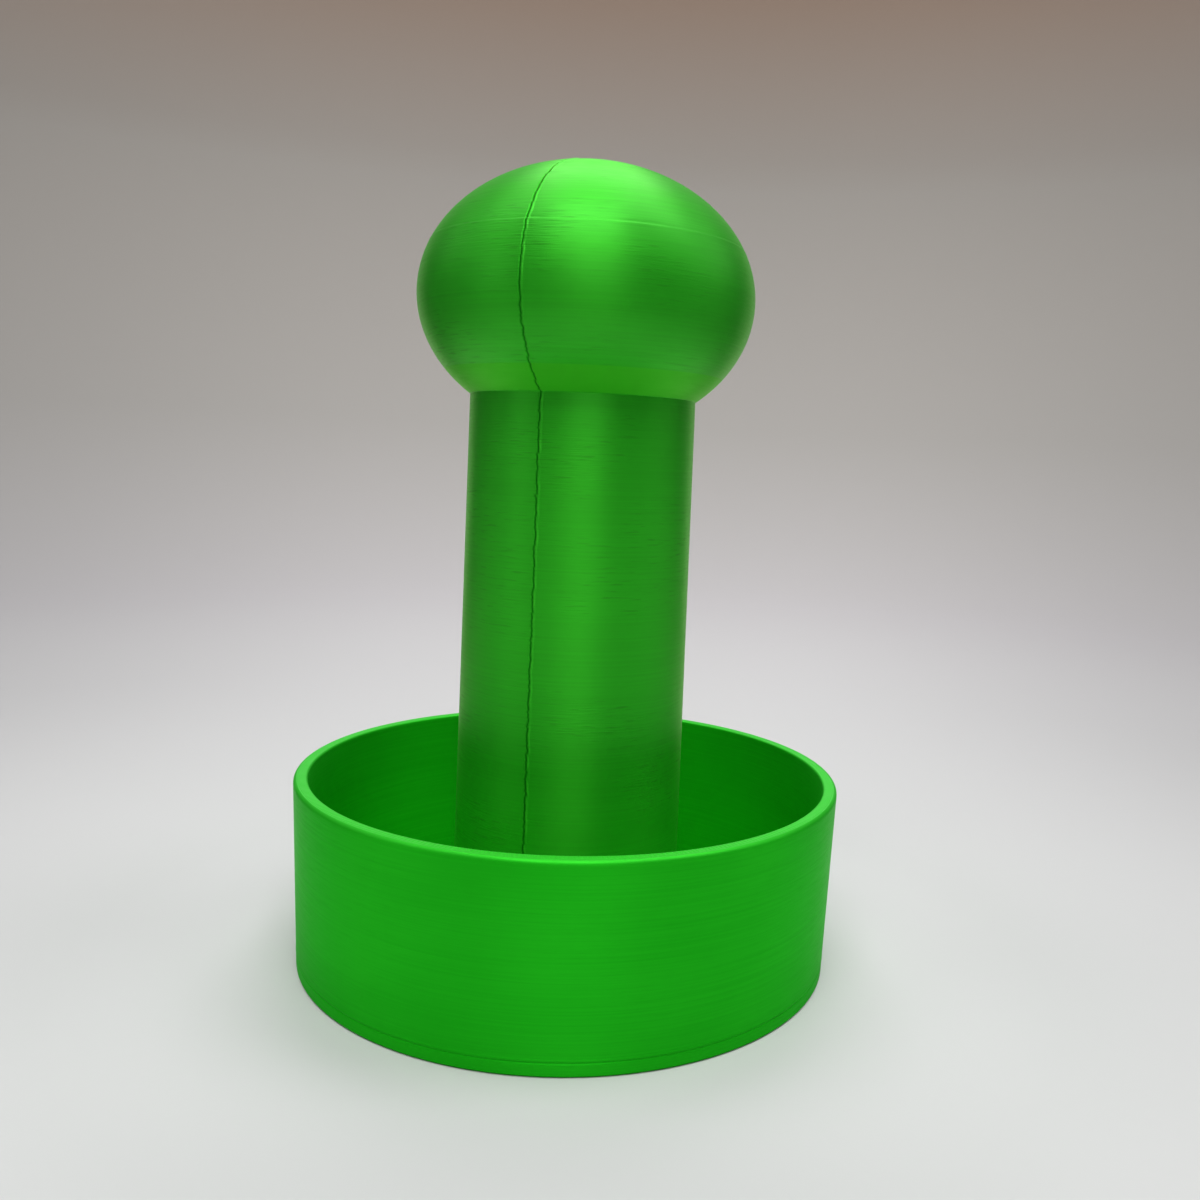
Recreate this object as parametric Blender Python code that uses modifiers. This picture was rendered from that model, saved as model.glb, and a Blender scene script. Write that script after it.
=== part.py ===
"""A free-standing holder for hair accessories: a round tray with a post and an oblate knob.

It comes apart into two printed pieces. The tray is a shallow cup with a ring spigot on its floor.
The post and its knob are one hollow print, open at the foot, which pushes down over the spigot.
Metres, +Z up, with the origin at the middle of the tray's underside.
"""
import math

import bmesh
import bpy

# Tray
TRAY_RIM_RADIUS = 0.0725
TRAY_FOOT_RADIUS = 0.0704
TRAY_HEIGHT = 0.0480
TRAY_WALL = 0.0036
TRAY_FLOOR = 0.0030
RIM_ROUNDING = 0.0010
FOOT_CHAMFER = 0.0005

# Post and knob
POST_RADIUS = 0.0304
NECK_HEIGHT = 0.1490
KNOB_HALF_WIDTH = 0.0453
KNOB_HALF_HEIGHT = 0.0360
POST_WALL = 0.0024

# Push fit of the post on the tray
SPIGOT_HEIGHT = 0.0200
SPIGOT_WALL = 0.0030
SPIGOT_LEAD_IN = 0.0010
FIT_CLEARANCE = 0.0003
SEAT_CLEARANCE = 0.0003

# Facets
TURN_STEPS = 72
KNOB_ARC_POINTS = 18
RIM_ARC_POINTS = 4

MERGE_DISTANCE = 0.00001
SMOOTH_ANGLE = math.radians(32)
PRINT_GREEN = (0.016, 0.58, 0.012, 1.0)
TRAY_ROUGHNESS = 0.46
POST_ROUGHNESS = 0.44


def clear_scene():
    for thing in list(bpy.data.objects):
        bpy.data.objects.remove(thing, do_unlink=True)


def make_collection(name):
    collection = bpy.data.collections.new(name)
    bpy.context.scene.collection.children.link(collection)
    return collection


def printed_plastic(name, roughness):
    material = bpy.data.materials.new(name)
    material.use_nodes = True
    shader = material.node_tree.nodes["Principled BSDF"]
    shader.inputs["Base Color"].default_value = PRINT_GREEN
    shader.inputs["Roughness"].default_value = roughness
    shader.inputs["Metallic"].default_value = 0.0
    material.diffuse_color = PRINT_GREEN
    return material


def turned_piece(name, profile, base_height, material, collection):
    """Turn a profile of (radius, height) points, which runs down the outer side, into a closed solid."""
    mesh = bpy.data.meshes.new(name + "_profile")
    outline = bmesh.new()
    corners = [outline.verts.new((radius, 0.0, height)) for radius, height in profile]
    for upper, lower in zip(corners, corners[1:]):
        outline.edges.new((upper, lower))
    outline.to_mesh(mesh)
    outline.free()
    piece = bpy.data.objects.new(name, mesh)
    piece.location.z = base_height
    collection.objects.link(piece)

    screw = piece.modifiers.new("Turn", "SCREW")
    screw.axis = "Z"
    screw.steps = TURN_STEPS
    screw.render_steps = TURN_STEPS
    screw.use_merge_vertices = True
    screw.merge_threshold = MERGE_DISTANCE

    turned = bpy.data.meshes.new_from_object(piece.evaluated_get(bpy.context.evaluated_depsgraph_get()))
    turned.name = name
    piece.modifiers.clear()
    piece.data = turned
    bpy.data.meshes.remove(mesh)
    turned.shade_smooth()
    turned.set_sharp_from_angle(angle=SMOOTH_ANGLE)
    turned.materials.append(material)
    return piece


def spheroid_arc(half_width, half_height, centre_height, neck_radius):
    """Points on a spheroid's side, from its top pole down to where it has narrowed to the neck."""
    last_angle = math.pi - math.asin(neck_radius / half_width)
    angles = [last_angle * step / KNOB_ARC_POINTS for step in range(KNOB_ARC_POINTS + 1)]
    return [(half_width * math.sin(angle), centre_height + half_height * math.cos(angle)) for angle in angles]


def knob_centre_height():
    """The knob's centre, so that its underside narrows to the post exactly at the neck."""
    return NECK_HEIGHT + KNOB_HALF_HEIGHT * math.sqrt(1.0 - (POST_RADIUS / KNOB_HALF_WIDTH) ** 2)


def post_foot_height():
    return TRAY_FLOOR + SEAT_CLEARANCE


def bore_radius():
    return POST_RADIUS - POST_WALL


def tray_profile():
    spigot_outer = bore_radius() - FIT_CLEARANCE
    spigot_inner = spigot_outer - SPIGOT_WALL
    spigot_top = TRAY_FLOOR + SPIGOT_HEIGHT
    spigot = [
        (0.0, TRAY_FLOOR),
        (spigot_inner, TRAY_FLOOR),
        (spigot_inner, spigot_top),
        (spigot_outer - SPIGOT_LEAD_IN, spigot_top),
        (spigot_outer, spigot_top - SPIGOT_LEAD_IN),
        (spigot_outer, TRAY_FLOOR),
    ]
    draft = (TRAY_RIM_RADIUS - TRAY_FOOT_RADIUS) / TRAY_HEIGHT
    wall_inside = [
        (TRAY_FOOT_RADIUS + draft * TRAY_FLOOR - TRAY_WALL, TRAY_FLOOR),
        (TRAY_RIM_RADIUS - TRAY_WALL, TRAY_HEIGHT),
    ]
    turn = [math.pi / 2 * step / RIM_ARC_POINTS for step in range(RIM_ARC_POINTS + 1)]
    rim = [
        (
            TRAY_RIM_RADIUS - RIM_ROUNDING * (1.0 - math.sin(angle)),
            TRAY_HEIGHT - RIM_ROUNDING * (1.0 - math.cos(angle)),
        )
        for angle in turn
    ]
    foot = [
        (TRAY_FOOT_RADIUS + draft * FOOT_CHAMFER, FOOT_CHAMFER),
        (TRAY_FOOT_RADIUS - FOOT_CHAMFER, 0.0),
        (0.0, 0.0),
    ]
    return spigot + wall_inside + rim + foot


def post_profile():
    """The hollow post with its knob, measured up from its own foot."""
    knob_centre = knob_centre_height() - post_foot_height()
    outside = spheroid_arc(KNOB_HALF_WIDTH, KNOB_HALF_HEIGHT, knob_centre, POST_RADIUS)
    hollow_width = KNOB_HALF_WIDTH - POST_WALL
    hollow_height = KNOB_HALF_HEIGHT - POST_WALL
    inside = spheroid_arc(hollow_width, hollow_height, knob_centre, bore_radius())
    return outside + [(POST_RADIUS, 0.0), (bore_radius(), 0.0)] + inside[::-1]


clear_scene()
holder = make_collection("hair_accessory_holder")
tray_print = printed_plastic("tray_print", TRAY_ROUGHNESS)
post_print = printed_plastic("post_print", POST_ROUGHNESS)
turned_piece("tray", tray_profile(), 0.0, tray_print, holder)
turned_piece("post_with_knob", post_profile(), post_foot_height(), post_print, holder)
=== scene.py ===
"""The looks of a printed holder for hair accessories: silk green plastic, on a pale sweep.

Both prints are turned meshes, finer than the frame's own solids and of the same size. Their print
seams, the raised ring on the knob and the line above the tray's foot are real relief.
"""
import math

import bpy
import numpy as np
from mathutils import Matrix, Vector


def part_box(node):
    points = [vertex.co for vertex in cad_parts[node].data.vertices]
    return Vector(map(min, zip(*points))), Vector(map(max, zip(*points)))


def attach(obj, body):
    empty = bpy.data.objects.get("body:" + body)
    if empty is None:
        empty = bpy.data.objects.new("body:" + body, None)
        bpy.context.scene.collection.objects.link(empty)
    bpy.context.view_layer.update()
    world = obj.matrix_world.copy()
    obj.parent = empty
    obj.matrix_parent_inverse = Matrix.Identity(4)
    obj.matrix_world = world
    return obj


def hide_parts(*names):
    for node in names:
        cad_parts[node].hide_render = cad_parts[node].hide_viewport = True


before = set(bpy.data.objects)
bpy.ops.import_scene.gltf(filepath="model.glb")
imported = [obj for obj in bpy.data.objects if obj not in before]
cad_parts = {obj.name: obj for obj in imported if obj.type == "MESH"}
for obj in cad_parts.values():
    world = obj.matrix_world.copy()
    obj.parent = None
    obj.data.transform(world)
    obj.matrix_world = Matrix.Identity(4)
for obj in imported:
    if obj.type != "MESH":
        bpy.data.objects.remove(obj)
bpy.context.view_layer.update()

MM = 0.001

# The photograph's frame and its camera, in pixels, radians, metres and millimetres of sensor
PHOTO_SIZE = 1200
FOCAL_PIXELS = 1137.8
OPTICAL_CENTRE = (640.0, 500.0)
CAMERA_PITCH_DOWN = math.radians(2.10)
CAMERA_ROLL = math.radians(2.32)
CAMERA_PLACE = Vector((0.01647, -0.30938, 0.13350))
CAMERA_NEAR_LIMIT = 0.01
SENSOR_WIDTH_MM = 36.0

# The tray, whose reach and height come from the frame
tray_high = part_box("tray")[1]
TRAY_RIM_RADIUS = tray_high.x
TRAY_HEIGHT = tray_high.z
TRAY_TAPER = 2.1 * MM
TRAY_FOOT_RADIUS = TRAY_RIM_RADIUS - TRAY_TAPER
TRAY_WALL = 3.6 * MM
TRAY_FLOOR = 3.0 * MM
RIM_ROUNDING = 1.0 * MM
RIM_INNER_ROUNDING = 0.5 * MM
RIM_ROUNDING_STEPS = 7
RIM_INNER_ROUNDING_STEPS = 4
INNER_WALL_RELIEF = 0.5
FOOT_CHAMFER = 0.5 * MM
SPIGOT_RADIUS = 27.7 * MM
SPIGOT_WALL = 3.0 * MM
SPIGOT_HEIGHT = 20.0 * MM
SPIGOT_LEAD_IN = 1.0 * MM

# The post and its knob, whose foot and crown come from the frame
post_low, post_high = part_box("post_with_knob")
POST_FOOT = post_low.z
CROWN_HEIGHT = post_high.z
POST_RADIUS = 30.4 * MM
POST_WALL = 2.4 * MM
POST_FOOT_PLAIN = 0.2 * MM
KNOB_HALF_WIDTH = 45.3 * MM
KNOB_HALF_HEIGHT = 36.0 * MM
KNOB_CENTRE = CROWN_HEIGHT - KNOB_HALF_HEIGHT
OVERHANG_TOP = 155.3 * MM

# Print seams: where they run, counted from the front (-Y) towards +X, and their ragged relief. The
# lengths of its changes are measured up the seam. It fades in between two radii, as the crown is plain.
POST_SEAM = math.radians(-17.6)
TRAY_SEAM = math.radians(163.0)
POST_SEAM_SEED = 11
TRAY_SEAM_SEED = 31
SEAM_DEPTH = 0.12 * MM
SEAM_DEPTH_CHANGE = 0.35
SEAM_DEPTH_CHANGE_LENGTH = 0.9 * MM
SEAM_HALF_WIDTH = 0.26 * MM
SEAM_BEAD_HEIGHT = 0.11 * MM
SEAM_BEAD_CHANGE = 0.7
SEAM_BEAD_CHANGE_LENGTH = 1.3 * MM
SEAM_BEAD_OFFSET = 0.50 * MM
SEAM_BEAD_HALF_WIDTH = 0.27 * MM
SEAM_WANDER = 0.17 * MM
SEAM_SLOW_LENGTH = 1.1 * MM
SEAM_QUICK_LENGTH = 0.45 * MM
SEAM_QUICK_SHARE = 0.9
SEAM_STARTS_AT_RADIUS = 1.5 * MM
SEAM_FULL_AT_RADIUS = 5.0 * MM
SEAM_MASK = "seam_groove"
NOISE_KNOTS = 4096

# The knob's ring: a ledge under a shallow line, both stronger and weaker round the knob
KNOB_RING_HEIGHT = 188.6 * MM
RING_LEDGE = 0.12 * MM
RING_LEDGE_STARTS = 0.30 * MM
RING_LEDGE_FULL = -0.12 * MM
RING_LEDGE_FADE = 1.6 * MM
RING_LINE_DEPTH = 0.03 * MM
RING_LINE_ABOVE = 0.5 * MM
RING_LINE_HALF_WIDTH = 0.18 * MM
RING_MEAN_STRENGTH = 0.6
RING_STRENGTH_CHANGE = 0.4
RING_CHANGES_PER_RADIAN = 9.0
RING_NOISE_START = 40.0
RING_SEED = 71
RING_REACH = 1.0 * MM

# The line round the tray above its foot, with a low ridge over it
FOOT_LINE_HEIGHT = 3.3 * MM
FOOT_LINE_DEPTH = 0.15 * MM
FOOT_LINE_HALF_WIDTH = 0.20 * MM
FOOT_RIDGE = 0.05 * MM
FOOT_RIDGE_ABOVE = 0.6 * MM
FOOT_RIDGE_HALF_WIDTH = 0.25 * MM
FOOT_LINE_REACH_DOWN = 0.8 * MM
FOOT_LINE_REACH_UP = 1.4 * MM

# How finely the prints are meshed
ROW_SPACING = 0.6 * MM
FINE_ROW_SPACING = 0.12 * MM
COARSE_ROW_SPACING = 6.0 * MM
COARSE_STEPS = 160
SEAM_FINE_HALF_ANGLE = math.radians(3.0)
SEAM_FINE_STEPS = 44
SHARP_EDGE = math.radians(38)

# The fine relief in the plastic. It has layers on walls, lines on level faces, long unevenness, and
# streaks with more relief in patches. The shares are of the bump's height.
BUMP_MM = 0.03
LAYER_MM = 0.2
LINE_MM = 0.45
LAYER_RELIEF = 0.12
UNEVEN_RELIEF = 0.3
STREAK_RELIEF = 0.2
STREAK_RELIEF_IN_PATCH = 3.0

# The noises: grains per millimetre along X, Y and Z, then octaves, then how strong the finer ones are
UNEVEN_NOISE = ((0.012, 0.012, 2.6), 3.0, 0.65)
STREAK_NOISE = ((0.16, 0.16, 2.4), 1.0, 0.6)
PATCH_NOISE = ((0.03, 0.03, 0.05), 1.0, 0.5)

# Where each mask starts and where it is full, by how far a face looks up or by a noise's value
LEVEL_FACING = (0.93, 0.985)
RIM_FACING = (0.1, 0.95)
PATCH_BAND = (0.46, 0.62)
PLAIN_GREEN_BAND = (0.35, 0.65)
DASH_BAND = (0.60, 0.70)
ROUGH_STREAK_BAND = (0.3, 0.7)

# The zigzag that fills the rim's last layer: its turns round the tray, its share of the relief, how far
# from its middle and below the top it ends and is full, and how far its middle is inside the wall's
RIM_ZIGZAGS = 430
RIM_ZIGZAG_RELIEF = 2.0
RIM_FILLED_ENDS_MM = 1.1
RIM_FILLED_FULL_MM = 0.8
RIM_LAYER_ENDS_MM = 1.8
RIM_LAYER_FULL_MM = 0.1
RIM_FILLED_INSET_MM = 0.5

# The matt overhang's soft upper end, and where it starts and is full outside the post's side
OVERHANG_SOFT_MM = 0.15
OVERHANG_STARTS_MM = 0.05
OVERHANG_FULL_MM = 0.35

# The plastic's colours: plain and deeper green, dashes, a paler, yellower green that paints a sheen on the
# matt overhang, a darker green that paints shade in a seam's groove, a paler green painted as light on the
# rim's top where it faces up, and the sheen, which colours the edges' reflections. Then what the noises weigh
# in the mix of plain and deeper green, and the dashes' share, with more of it in patches.
PRINT_GREEN = (0.016, 0.58, 0.012, 1.0)
DEEP_GREEN = (0.011, 0.52, 0.009, 1.0)
DASH_GREEN = (0.007, 0.39, 0.006, 1.0)
OVERHANG_SHEEN_GREEN = (0.040, 0.60, 0.013, 1.0)
GROOVE_SHADE_GREEN = (0.002, 0.24, 0.004, 1.0)
RIM_PAINTED_LIGHT_GREEN = (0.040, 0.65, 0.032, 1.0)
POST_SHEEN = (0.72, 1.0, 0.27, 1.0)
TRAY_SHEEN = (0.30, 1.0, 0.25, 1.0)
UNEVEN_TINT = 0.6
PATCH_TINT = 0.4
DASH_TINT = 0.1
DASH_TINT_IN_PATCH = 0.8

# The silk's metal-like share on walls, what level faces lose of it and a seam's groove gains, and its
# sheen's upright stretch. Then the coat that level faces gain, the coat's own roughness, and what streaks
# and the overhang add to the plastic's roughness.
WALL_METALLIC = 0.56
LEVEL_METALLIC_LOSS = 0.50
GROOVE_METALLIC_GAIN = 0.40
SHEEN_STRETCH = 0.75
SHEEN_TURN = 0.25
LEVEL_COAT = 0.15
COAT_ROUGHNESS = 0.40
STREAK_ROUGHNESS = 0.05
OVERHANG_ROUGHNESS = 0.04

# The sweep in metres. Its colours go by distance from the axis plus height, as shares of its reach:
# next to the tray, the floor, where it starts to bend up, the lower and upper wall, and the top. These are
# painted light and shade: the floor is painted paler next to the tray, against the holder's soft shadow,
# and the wall darker towards its top.
SWEEP_FLAT_RADIUS = 0.75
SWEEP_BEND_RADIUS = 0.55
SWEEP_WALL_TOP = 2.2
SWEEP_STEPS = 96
SWEEP_BEND_STEPS = 24
SWEEP_FLOOR_SPACING = 0.1
SWEEP_WALL_SPACING = 0.3
SWEEP_REACH_MM = 2200.0
SWEEP_COLOURS = [
    (0.00, (0.80, 0.76, 0.80)),
    (0.06, (0.61, 0.61, 0.61)),
    (0.35, (0.56, 0.54, 0.55)),
    (0.60, (0.44, 0.42, 0.40)),
    (0.82, (0.43, 0.40, 0.37)),
    (1.00, (0.28, 0.17, 0.11)),
]

# The painted shade at the sweep's sides, which mixes it towards black outside a wedge that opens from
# SIDE_WEDGE_MM in front of the axis: the slopes at its edge, and how far from the axis the dimming starts and
# is full
SIDE_DIMMING = 0.30
SIDE_WEDGE_MM = 310.0
SIDE_SLOPE = (0.12, 0.62)
SIDE_FROM_MIDDLE_MM = (60.0, 420.0)
SWEEP_BLACK = (0.0, 0.0, 0.0, 1.0)

# What the sweep gives back in reflections: a grey next to the tray, a paler one round it, and a dark one
# far off. Behind the holder, beyond the slope given here, the dark one loses a share.
NEAR_BOUNCE = (0.54, 0.54, 0.54, 1.0)
WIDE_BOUNCE = (0.74, 0.74, 0.74, 1.0)
FAR_BOUNCE = (0.06, 0.06, 0.06, 1.0)
NEAR_MM = (150.0, 75.0)
FAR_MM = (150.0, 470.0)
BEHIND_SLOPE = 0.9
BEHIND_MM = (0.0, 300.0)
BEHIND_SHARE = 0.6

# The lamps, all aimed at one point: place and size in metres, and watts
LAMP_AIM = Vector((0.0, 0.0, 0.12))
LAMPS = {
    "front_above": ((0.0, -0.82, 1.8), (1.2, 1.0), 20.3),
    "back_above": ((0.0, 0.9, 1.8), (1.2, 0.8), 12.4),
    "left_above": ((-0.9, 0.0, 1.8), (0.8, 1.2), 6.5),
    "right_above": ((0.9, 0.0, 1.8), (0.8, 1.2), 10.3),
    "left_side": ((-0.90, 0.15, 0.78), (0.75, 0.60), 0.70),
    "right_side": ((0.90, 0.15, 0.78), (0.75, 0.60), 1.30),
    "front_side": ((-0.04, -1.00, 0.65), (0.70, 0.46), 0.40),
    "left_low": ((-0.80, -0.49, 0.40), (0.40, 0.50), 0.46),
    "front_low": ((0.15, -0.88, 0.40), (0.50, 0.50), 0.68),
}
WORLD_COLOUR = (1.0, 1.0, 1.0, 1.0)
WORLD_STRENGTH = 0.03


def smooth_noise(values, seed):
    """One-dimensional value noise between -1 and 1, the same on each run."""
    knots = np.random.default_rng(seed).uniform(-1.0, 1.0, NOISE_KNOTS)
    low = np.floor(values).astype(int)
    part = values - low
    part = part * part * (3.0 - 2.0 * part)
    return knots[low % NOISE_KNOTS] * (1.0 - part) + knots[(low + 1) % NOISE_KNOTS] * part


def smooth_step(low, high, values):
    part = np.clip((values - low) / (high - low), 0.0, 1.0)
    return part * part * (3.0 - 2.0 * part)


def ridge(distance, half_width):
    return np.exp(-((distance / half_width) ** 2))


def walked(points, spacing):
    """The same outline with more points on its long stretches, none further apart than spacing."""
    row = [points[0]]
    for start, end in zip(points, points[1:]):
        count = max(1, math.ceil(math.dist(start, end) / spacing))
        row += [
            (start[0] + (end[0] - start[0]) * step / count, start[1] + (end[1] - start[1]) * step / count)
            for step in range(1, count + 1)
        ]
    return row


def rounding(centre, radius, start_angle, end_angle, steps):
    """An arc of outline, its angles counted from straight up towards the outside."""
    angles = [start_angle + (end_angle - start_angle) * step / steps for step in range(steps + 1)]
    return [(centre[0] + radius * math.sin(a), centre[1] + radius * math.cos(a)) for a in angles]


def spheroid_side(half_width, half_height, neck_radius, spacing, ring_spacing):
    """Outline points from a knob's pole down to its neck, with their own spacing near the raised ring."""
    last_angle = math.pi - math.asin(neck_radius / half_width)
    points = [(0.0, KNOB_CENTRE + half_height)]
    angle = 0.0
    while True:
        height = KNOB_CENTRE + half_height * math.cos(angle)
        near_ring = abs(height - KNOB_RING_HEIGHT) < RING_REACH
        step = ring_spacing if near_ring else spacing
        angle += step / math.hypot(half_width * math.cos(angle), half_height * math.sin(angle))
        if angle >= last_angle:
            break
        points.append((half_width * math.sin(angle), KNOB_CENTRE + half_height * math.cos(angle)))
    points.append((neck_radius, KNOB_CENTRE + half_height * math.cos(last_angle)))
    return points


def seam_relief(radius, height, from_seam, seed):
    """The ragged groove that the layers' starts leave, with the beads beside it, and where it is."""
    wander = SEAM_WANDER * (
        smooth_noise(height / SEAM_SLOW_LENGTH, seed)
        + SEAM_QUICK_SHARE * smooth_noise(height / SEAM_QUICK_LENGTH, seed + 1)
    )
    across = from_seam * radius - wander
    depth_noise = smooth_noise(height / SEAM_DEPTH_CHANGE_LENGTH, seed + 2)
    depth = SEAM_DEPTH * (1.0 + SEAM_DEPTH_CHANGE * depth_noise)
    bead_noise = smooth_noise(height / SEAM_BEAD_CHANGE_LENGTH, seed + 3)
    bead = SEAM_BEAD_HEIGHT * (1.0 + SEAM_BEAD_CHANGE * bead_noise)
    beads = ridge(across - SEAM_BEAD_OFFSET, SEAM_BEAD_HALF_WIDTH)
    off_axis = smooth_step(SEAM_STARTS_AT_RADIUS, SEAM_FULL_AT_RADIUS, radius)
    groove = off_axis * ridge(across, SEAM_HALF_WIDTH)
    return off_axis * bead * beads - depth * groove, groove


def post_relief(radius, height, from_seam):
    """The seam down the knob and post, and the knob's thin broken ring, whose ledge fades out below it."""
    seam, groove = seam_relief(radius, height, from_seam, POST_SEAM_SEED)
    round_the_knob = from_seam * RING_CHANGES_PER_RADIAN + RING_NOISE_START
    broken = RING_MEAN_STRENGTH + RING_STRENGTH_CHANGE * smooth_noise(round_the_knob, RING_SEED)
    above = height - KNOB_RING_HEIGHT
    ledge = smooth_step(RING_LEDGE_STARTS, RING_LEDGE_FULL, above)
    ledge = ledge * np.exp(np.minimum(above, 0.0) / RING_LEDGE_FADE)
    line = ridge(above - RING_LINE_ABOVE, RING_LINE_HALF_WIDTH)
    return seam + broken * (RING_LEDGE * ledge - RING_LINE_DEPTH * line), groove


def tray_relief(radius, height, from_seam):
    """The seam at the tray's back, and the groove and ridge that run round above its foot."""
    seam, groove = seam_relief(radius, height, from_seam, TRAY_SEAM_SEED)
    above = height - FOOT_LINE_HEIGHT
    line = -FOOT_LINE_DEPTH * ridge(above, FOOT_LINE_HALF_WIDTH)
    low_ridge = FOOT_RIDGE * ridge(above - FOOT_RIDGE_ABOVE, FOOT_RIDGE_HALF_WIDTH)
    return seam + line + low_ridge, groove


def mesh_piece(name, corners, faces):
    mesh = bpy.data.meshes.new(name)
    mesh.from_pydata(corners, [], faces)
    mesh.shade_smooth()
    piece = bpy.data.objects.new(name, mesh)
    bpy.context.scene.collection.objects.link(piece)
    return piece


def ring_faces(rows, steps):
    """Four-sided faces between the rows of a turned mesh, whose corners are numbered row by row."""
    here = np.arange(steps)
    beyond = (here + 1) % steps
    faces = []
    for row in range(rows - 1):
        upper, lower = row * steps, (row + 1) * steps
        faces += np.stack([upper + here, lower + here, lower + beyond, upper + beyond], axis=1).tolist()
    return faces


def turned_print(name, stretches, seam, relief):
    """A closed turned mesh, whose outline runs out from the axis and back to it.

    Each stretch is part of that outline with the share of the relief that it gets.
    """
    outline = []
    raised = []
    for points, share in stretches:
        new = points[1:] if outline else points
        outline += new
        raised += [share] * len(new)
    outline = np.array(outline)
    along = np.gradient(outline, axis=0)
    along /= np.linalg.norm(along, axis=1, keepdims=True)
    outward = np.stack([-along[:, 1], along[:, 0]], axis=1)[1:-1]

    fine = np.linspace(-SEAM_FINE_HALF_ANGLE, SEAM_FINE_HALF_ANGLE, SEAM_FINE_STEPS + 1)
    coarse = np.linspace(SEAM_FINE_HALF_ANGLE, math.tau - SEAM_FINE_HALF_ANGLE, COARSE_STEPS + 1)
    angles = np.concatenate([fine, coarse[1:-1]])
    from_seam = ((angles + math.pi) % math.tau - math.pi)[None, :]

    radius, height = outline[1:-1, 0][:, None], outline[1:-1, 1][:, None]
    share = np.array(raised)[1:-1, None]
    lift, groove = relief(radius, height, from_seam)
    lift = share * lift
    turn = seam + angles[None, :]
    lifted_radius = radius + outward[:, :1] * lift
    lifted_height = height + outward[:, 1:] * lift
    places = np.stack([lifted_radius * np.sin(turn), -lifted_radius * np.cos(turn), lifted_height], axis=2)

    rows, steps = places.shape[:2]
    poles = [(0.0, 0.0, outline[0, 1]), (0.0, 0.0, outline[-1, 1])]
    first_pole, last_pole = rows * steps, rows * steps + 1
    last_row = (rows - 1) * steps
    first_fan = [(first_pole, step, (step + 1) % steps) for step in range(steps)]
    last_fan = [(last_pole, last_row + (step + 1) % steps, last_row + step) for step in range(steps)]
    faces = first_fan + ring_faces(rows, steps) + last_fan
    piece = mesh_piece(name, places.reshape(-1, 3).tolist() + poles, faces)
    piece.data.set_sharp_from_angle(angle=SHARP_EDGE)
    mask = piece.data.attributes.new(SEAM_MASK, "FLOAT", "POINT")
    mask.data.foreach_set("value", (share * groove).ravel().tolist() + [0.0] * len(poles))
    return piece


def post_print():
    bore = POST_RADIUS - POST_WALL
    knob = spheroid_side(KNOB_HALF_WIDTH, KNOB_HALF_HEIGHT, POST_RADIUS, ROW_SPACING, FINE_ROW_SPACING)
    hollow_width, hollow_height = KNOB_HALF_WIDTH - POST_WALL, KNOB_HALF_HEIGHT - POST_WALL
    hollow = spheroid_side(hollow_width, hollow_height, bore, COARSE_ROW_SPACING, COARSE_ROW_SPACING)[::-1]
    seam_end = (POST_RADIUS, POST_FOOT + POST_FOOT_PLAIN)
    foot_inside = (bore, POST_FOOT)
    return turned_print(
        "post_with_knob_print",
        [
            (knob, 1.0),
            (walked([knob[-1], seam_end], ROW_SPACING), 1.0),
            (walked([seam_end, (POST_RADIUS, POST_FOOT), foot_inside], COARSE_ROW_SPACING), 0.0),
            (walked([foot_inside, hollow[0]], COARSE_ROW_SPACING), 0.0),
            (hollow, 0.0),
        ],
        POST_SEAM,
        post_relief,
    )


def tray_print():
    draft = (TRAY_RIM_RADIUS - TRAY_FOOT_RADIUS) / TRAY_HEIGHT
    spigot_bore = SPIGOT_RADIUS - SPIGOT_WALL
    spigot_top = TRAY_FLOOR + SPIGOT_HEIGHT
    inner_foot = (TRAY_FOOT_RADIUS + draft * TRAY_FLOOR - TRAY_WALL, TRAY_FLOOR)
    spigot = [
        (0.0, TRAY_FLOOR),
        (spigot_bore, TRAY_FLOOR),
        (spigot_bore, spigot_top),
        (SPIGOT_RADIUS - SPIGOT_LEAD_IN, spigot_top),
        (SPIGOT_RADIUS, spigot_top - SPIGOT_LEAD_IN),
        (SPIGOT_RADIUS, TRAY_FLOOR),
    ]
    quarter = math.pi / 2.0
    inner_centre = (TRAY_RIM_RADIUS - TRAY_WALL + RIM_INNER_ROUNDING, TRAY_HEIGHT - RIM_INNER_ROUNDING)
    inner_round = rounding(inner_centre, RIM_INNER_ROUNDING, -quarter, 0.0, RIM_INNER_ROUNDING_STEPS)
    outer_centre = (TRAY_RIM_RADIUS - RIM_ROUNDING, TRAY_HEIGHT - RIM_ROUNDING)
    outer_round = rounding(outer_centre, RIM_ROUNDING, 0.0, quarter, RIM_ROUNDING_STEPS)

    def wall(height):
        return TRAY_FOOT_RADIUS + draft * height, height

    above_line = wall(FOOT_LINE_HEIGHT + FOOT_LINE_REACH_UP)
    below_line = wall(FOOT_LINE_HEIGHT - FOOT_LINE_REACH_DOWN)
    foot_edge = (TRAY_FOOT_RADIUS - FOOT_CHAMFER, 0.0)
    return turned_print(
        "tray_print",
        [
            (walked(spigot, COARSE_ROW_SPACING), 0.0),
            (walked([spigot[-1], inner_foot], COARSE_ROW_SPACING), 0.0),
            (walked([inner_foot, inner_round[0]], ROW_SPACING), INNER_WALL_RELIEF),
            (inner_round, 0.0),
            (walked([inner_round[-1], outer_round[0]], ROW_SPACING), 0.0),
            (outer_round, 0.0),
            (walked([outer_round[-1], above_line], ROW_SPACING), 1.0),
            (walked([above_line, below_line], FINE_ROW_SPACING), 1.0),
            (walked([below_line, wall(FOOT_CHAMFER)], ROW_SPACING), 1.0),
            (walked([wall(FOOT_CHAMFER), foot_edge], ROW_SPACING), 0.0),
            (walked([foot_edge, (0.0, 0.0)], COARSE_ROW_SPACING), 0.0),
        ],
        TRAY_SEAM,
        tray_relief,
    )


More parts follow.
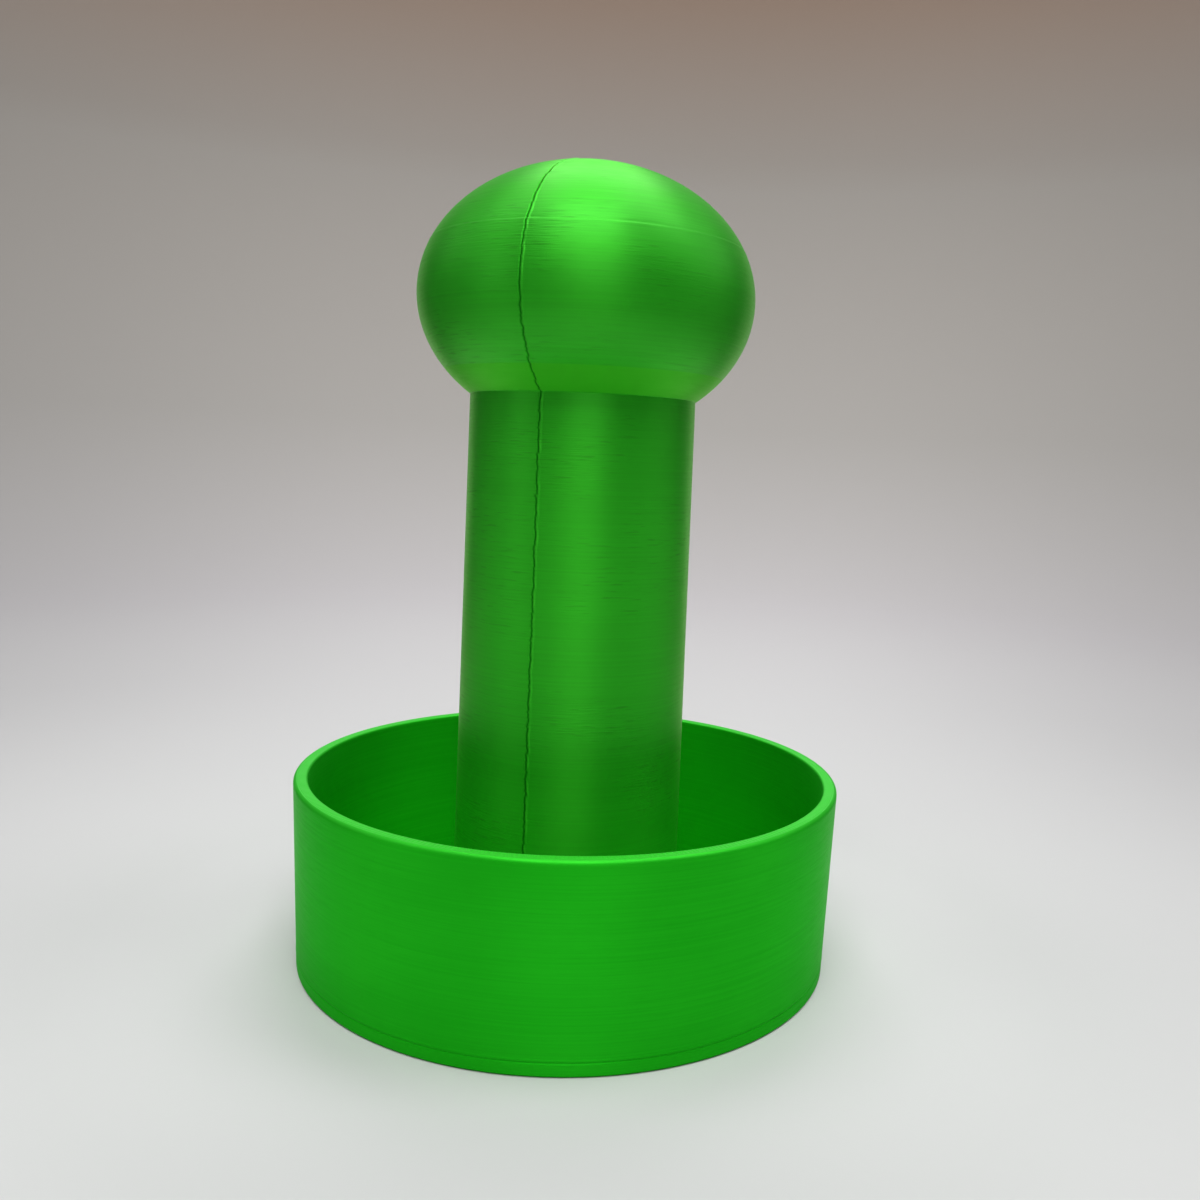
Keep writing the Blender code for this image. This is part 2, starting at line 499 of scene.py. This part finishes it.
class Wire:
    """A node's output. Arithmetic on wires and numbers adds Math nodes."""

    def __init__(self, socket):
        self.socket = socket
        self.tree = socket.id_data

    def math(self, operation, *others):
        """A Math node whose first value is this wire."""
        values = dict(enumerate((self,) + others))
        return Wire(add_node(self.tree, "ShaderNodeMath", {"operation": operation}, values).outputs[0])

    def __add__(self, other):
        return self.math("ADD", other)

    def __sub__(self, other):
        return self.math("SUBTRACT", other)

    def __rsub__(self, other):
        """The other value minus this wire, which is this wire times -1 plus the other."""
        return self.math("MULTIPLY_ADD", -1.0, other)

    def __mul__(self, other):
        return self.math("MULTIPLY", other)

    def __truediv__(self, other):
        return self.math("DIVIDE", other)

    __radd__ = __add__
    __rmul__ = __mul__


def add_node(tree, kind, settings=None, values=None):
    """Any node: its own settings first, with a ramp's stops among them, then its sockets' values or wires."""
    node = tree.nodes.new(kind)
    for name, setting in (settings or {}).items():
        if name == "stops":
            ramp = node.color_ramp
            while len(ramp.elements) < len(setting):
                ramp.elements.new(0.5)
            for element, (place, colour) in zip(ramp.elements, setting):
                element.position = place
                element.color = colour
        else:
            setattr(node, name, setting)
    for name, value in (values or {}).items():
        if isinstance(value, Wire):
            tree.links.new(value.socket, node.inputs[name])
        else:
            node.inputs[name].default_value = value
    return node


def new_material(name):
    material = bpy.data.materials.new(name)
    material.use_nodes = True
    material.node_tree.nodes.clear()
    return material, material.node_tree


def finish_with(tree, shader_output):
    output = add_node(tree, "ShaderNodeOutputMaterial")
    tree.links.new(shader_output, output.inputs["Surface"])


def split_vector(tree, vector):
    split = add_node(tree, "ShaderNodeSeparateXYZ", values={0: vector})
    return [Wire(output) for output in split.outputs]


def places_in_mm(tree):
    """Places on the piece in millimetres: the whole vector, then its X, Y and Z."""
    places = Wire(add_node(tree, "ShaderNodeTexCoord").outputs["Object"])
    scaled = add_node(tree, "ShaderNodeVectorMath", {"operation": "SCALE"}, {0: places, "Scale": 1.0 / MM})
    vector = Wire(scaled.outputs[0])
    return vector, split_vector(tree, vector)


def stretched_noise(tree, vector, grain, detail, roughness):
    """Noise from 0 to 1, with its grains per millimetre along X, Y and Z."""
    scaled = add_node(tree, "ShaderNodeVectorMath", {"operation": "MULTIPLY"}, {0: vector, 1: grain})
    values = {"Vector": Wire(scaled.outputs[0]), "Scale": 1.0, "Detail": detail, "Roughness": roughness}
    return Wire(add_node(tree, "ShaderNodeTexNoise", values=values).outputs["Fac"])


def band(tree, value, low, high):
    """0 at low and before it, 1 at high and past it, and smooth between them."""
    values = {"Value": value, "From Min": low, "From Max": high}
    node = add_node(tree, "ShaderNodeMapRange", {"interpolation_type": "SMOOTHSTEP"}, values)
    return Wire(node.outputs["Result"])


def mixed(tree, share, first, second):
    """A colour between two, all the first where the share is 0."""
    node = add_node(tree, "ShaderNodeMix", {"data_type": "RGBA"}, {"Factor": share, 6: first, 7: second})
    return Wire(node.outputs[2])


def silk_print(name, roughness, specular, sheen, coat, streakiness, level_relief, overhang=False, rim=False):
    """Silk plastic laid in fine rings: its layers, faint lengthwise streaks and a soft upright sheen.

    A print with an overhang is matt under its knob and painted a paler, yellower green there as a sheen.
    One with a rim has a top painted paler where it faces up, as painted light, and a zigzag fills it.
    """
    material, tree = new_material(name)
    vector, (x, y, z) = places_in_mm(tree)
    radius = (x * x + y * y).math("SQRT")
    normal = Wire(add_node(tree, "ShaderNodeNewGeometry").outputs["Normal"])
    facing_up = split_vector(tree, normal)[2]
    level = band(tree, facing_up.math("ABSOLUTE"), *LEVEL_FACING)
    groove = Wire(add_node(tree, "ShaderNodeAttribute", {"attribute_name": SEAM_MASK}).outputs["Fac"])

    uneven = stretched_noise(tree, vector, *UNEVEN_NOISE)
    streaks = stretched_noise(tree, vector, *STREAK_NOISE)
    patches = stretched_noise(tree, vector, *PATCH_NOISE)
    patch = band(tree, patches, *PATCH_BAND)
    layer = (z * (1.0 / LAYER_MM)).math("FRACT")
    streak_relief = (patch * STREAK_RELIEF_IN_PATCH + STREAK_RELIEF) * streakiness
    on_wall = layer * LAYER_RELIEF + uneven * UNEVEN_RELIEF + streaks * streak_relief
    on_level = (radius * (math.tau / LINE_MM)).math("SINE") * level_relief
    plain = band(tree, uneven * UNEVEN_TINT + patches * PATCH_TINT, *PLAIN_GREEN_BAND)
    dashes = band(tree, streaks, *DASH_BAND) * (patch * DASH_TINT_IN_PATCH + DASH_TINT) * streakiness
    colour = mixed(tree, dashes, mixed(tree, plain, DEEP_GREEN, PRINT_GREEN), DASH_GREEN)
    finish = band(tree, streaks, *ROUGH_STREAK_BAND) * STREAK_ROUGHNESS + roughness
    if rim:
        rim_top = TRAY_HEIGHT / MM
        rim_middle = (TRAY_RIM_RADIUS - TRAY_WALL / 2) / MM - RIM_FILLED_INSET_MM
        top_layer = band(tree, z, rim_top - RIM_LAYER_ENDS_MM, rim_top - RIM_LAYER_FULL_MM)
        from_middle = (radius - rim_middle).math("ABSOLUTE")
        filled = top_layer * band(tree, from_middle, RIM_FILLED_ENDS_MM, RIM_FILLED_FULL_MM)
        zigzag = (y.math("ARCTAN2", x) * float(RIM_ZIGZAGS)).math("SINE")
        on_level = on_level * (1.0 - filled) + zigzag * filled * RIM_ZIGZAG_RELIEF
        # Painted light: the rim's top layer is painted paler the more it faces up.
        colour = mixed(tree, top_layer * band(tree, facing_up, *RIM_FACING), colour, RIM_PAINTED_LIGHT_GREEN)
    if overhang:
        overhang_top, post_side = OVERHANG_TOP / MM, POST_RADIUS / MM
        below_top = band(tree, z, overhang_top + OVERHANG_SOFT_MM, overhang_top - OVERHANG_SOFT_MM)
        outside = band(tree, radius, post_side + OVERHANG_STARTS_MM, post_side + OVERHANG_FULL_MM)
        under = below_top * outside
        # Painted sheen: the overhang is painted a paler, yellower green, on top of its real rougher, uncoated
        # finish.
        colour = mixed(tree, under, colour, OVERHANG_SHEEN_GREEN)
        finish = finish + under * OVERHANG_ROUGHNESS
        coat = (1.0 - under) * coat
    height = on_wall * (1.0 - level) + on_level * level
    bump_values = {"Strength": 1.0, "Distance": BUMP_MM * MM, "Height": height}
    relief = add_node(tree, "ShaderNodeBump", values=bump_values)
    shader = add_node(
        tree,
        "ShaderNodeBsdfPrincipled",
        values={
            # Painted shade: a seam's groove is painted a darker green.
            "Base Color": mixed(tree, groove, colour, GROOVE_SHADE_GREEN),
            "Roughness": finish,
            "Normal": Wire(relief.outputs["Normal"]),
            "Metallic": groove * GROOVE_METALLIC_GAIN + WALL_METALLIC - level * LEVEL_METALLIC_LOSS,
            "Anisotropic": SHEEN_STRETCH,
            "Anisotropic Rotation": SHEEN_TURN,
            "Specular IOR Level": specular,
            "Specular Tint": sheen,
            "Coat Weight": (1.0 - groove) * coat + level * LEVEL_COAT,
            "Coat Roughness": COAT_ROUGHNESS,
        },
    )
    finish_with(tree, shader.outputs["BSDF"])
    return material


def sweep_material():
    """Pale paper, painted darker towards its top and its sides and paler next to the tray, as painted light
    and shade. In reflections its far parts are dark.
    """
    material, tree = new_material("pale_sweep")
    x, y, z = places_in_mm(tree)[1]
    sideways = x.math("ABSOLUTE")
    outward = (x * x + y * y).math("SQRT") + z
    # The colours seen from the camera carry painted light and shade.
    stops = [(place, colour + (1.0,)) for place, colour in SWEEP_COLOURS]
    ramp = add_node(tree, "ShaderNodeValToRGB", {"stops": stops}, {"Fac": outward * (1.0 / SWEEP_REACH_MM)})
    aside = band(tree, sideways / (outward + SIDE_WEDGE_MM), *SIDE_SLOPE)
    at_side = aside * band(tree, outward, *SIDE_FROM_MIDDLE_MM)
    # Painted shade: the sweep's sides are mixed towards black.
    paper = mixed(tree, at_side * SIDE_DIMMING, Wire(ramp.outputs["Color"]), SWEEP_BLACK)

    behind = band(tree, y - sideways * BEHIND_SLOPE, *BEHIND_MM)
    near = band(tree, outward, *NEAR_MM)
    far = band(tree, outward, *FAR_MM) * (1.0 - behind * BEHIND_SHARE)
    bounce = mixed(tree, far, mixed(tree, near, WIDE_BOUNCE, NEAR_BOUNCE), FAR_BOUNCE)
    seen = Wire(add_node(tree, "ShaderNodeLightPath").outputs["Is Camera Ray"])
    colour = mixed(tree, seen, bounce, paper)
    shader = add_node(tree, "ShaderNodeBsdfDiffuse", values={"Color": colour})
    finish_with(tree, shader.outputs["BSDF"])
    return material


def sweep():
    """A round sweep: a level floor that turns up into a wall on every side."""
    outline = walked([(0.0, 0.0), (SWEEP_FLAT_RADIUS, 0.0)], SWEEP_FLOOR_SPACING)
    outline += [
        (SWEEP_FLAT_RADIUS + SWEEP_BEND_RADIUS * math.sin(a), SWEEP_BEND_RADIUS * (1.0 - math.cos(a)))
        for a in np.linspace(0.0, math.pi / 2.0, SWEEP_BEND_STEPS)[1:]
    ]
    outline += walked([outline[-1], (outline[-1][0], SWEEP_WALL_TOP)], SWEEP_WALL_SPACING)[1:]
    rows = np.array(outline[1:])
    turn = np.linspace(0.0, math.tau, SWEEP_STEPS, endpoint=False)
    across, up = rows[:, :1], np.repeat(rows[:, 1:], SWEEP_STEPS, axis=1)
    places = np.stack([across * np.sin(turn), -across * np.cos(turn), up], axis=2)
    middle = len(rows) * SWEEP_STEPS
    fan = [(middle, step, (step + 1) % SWEEP_STEPS) for step in range(SWEEP_STEPS)]
    faces = fan + ring_faces(len(rows), SWEEP_STEPS)
    floor = mesh_piece("sweep", places.reshape(-1, 3).tolist() + [(0.0, 0.0, 0.0)], faces)
    floor.data.materials.append(sweep_material())


def studio_light():
    for name, (place, size, watts) in LAMPS.items():
        lamp = bpy.data.lights.new(name, "AREA")
        lamp.shape = "RECTANGLE"
        lamp.size, lamp.size_y = size
        lamp.energy = watts
        holder = bpy.data.objects.new(name, lamp)
        holder.location = place
        holder.rotation_euler = (LAMP_AIM - Vector(place)).to_track_quat("-Z", "Y").to_euler()
        holder.visible_camera = False
        bpy.context.scene.collection.objects.link(holder)
    world = bpy.data.worlds.new("studio")
    world.use_nodes = True
    background = world.node_tree.nodes["Background"]
    background.inputs["Color"].default_value = WORLD_COLOUR
    background.inputs["Strength"].default_value = WORLD_STRENGTH
    bpy.context.scene.world = world


def photo_camera():
    forward = Vector((0.0, math.cos(CAMERA_PITCH_DOWN), -math.sin(CAMERA_PITCH_DOWN)))
    level_right = Vector((1.0, 0.0, 0.0))
    level_up = level_right.cross(forward)
    right = math.cos(CAMERA_ROLL) * level_right + math.sin(CAMERA_ROLL) * level_up
    up = math.cos(CAMERA_ROLL) * level_up - math.sin(CAMERA_ROLL) * level_right
    data = bpy.data.cameras.new("photo_camera")
    data.sensor_width = SENSOR_WIDTH_MM
    data.lens = FOCAL_PIXELS / PHOTO_SIZE * SENSOR_WIDTH_MM
    data.shift_x = (PHOTO_SIZE / 2 - OPTICAL_CENTRE[0]) / PHOTO_SIZE
    data.shift_y = (OPTICAL_CENTRE[1] - PHOTO_SIZE / 2) / PHOTO_SIZE
    data.clip_start = CAMERA_NEAR_LIMIT
    camera = bpy.data.objects.new("photo_camera", data)
    turn = Matrix((right, up, -forward)).transposed()
    camera.matrix_world = Matrix.Translation(CAMERA_PLACE) @ turn.to_4x4()
    bpy.context.scene.collection.objects.link(camera)
    bpy.context.scene.camera = camera


post = post_print()
post_silk = silk_print(
    "post_silk_green",
    roughness=0.44,
    specular=1.0,
    sheen=POST_SHEEN,
    coat=0.20,
    streakiness=0.75,
    level_relief=0.12,
    overhang=True,
)
post.data.materials.append(post_silk)
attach(post, "post_body")
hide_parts("post_with_knob")

tray = tray_print()
tray_silk = silk_print(
    "tray_silk_green",
    roughness=0.46,
    specular=0.2,
    sheen=TRAY_SHEEN,
    coat=0.0,
    streakiness=0.13,
    level_relief=1.2,
    rim=True,
)
tray.data.materials.append(tray_silk)
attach(tray, "tray_body")
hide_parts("tray")

sweep()
studio_light()
photo_camera()

bpy.context.scene.view_settings.view_transform = "Standard"
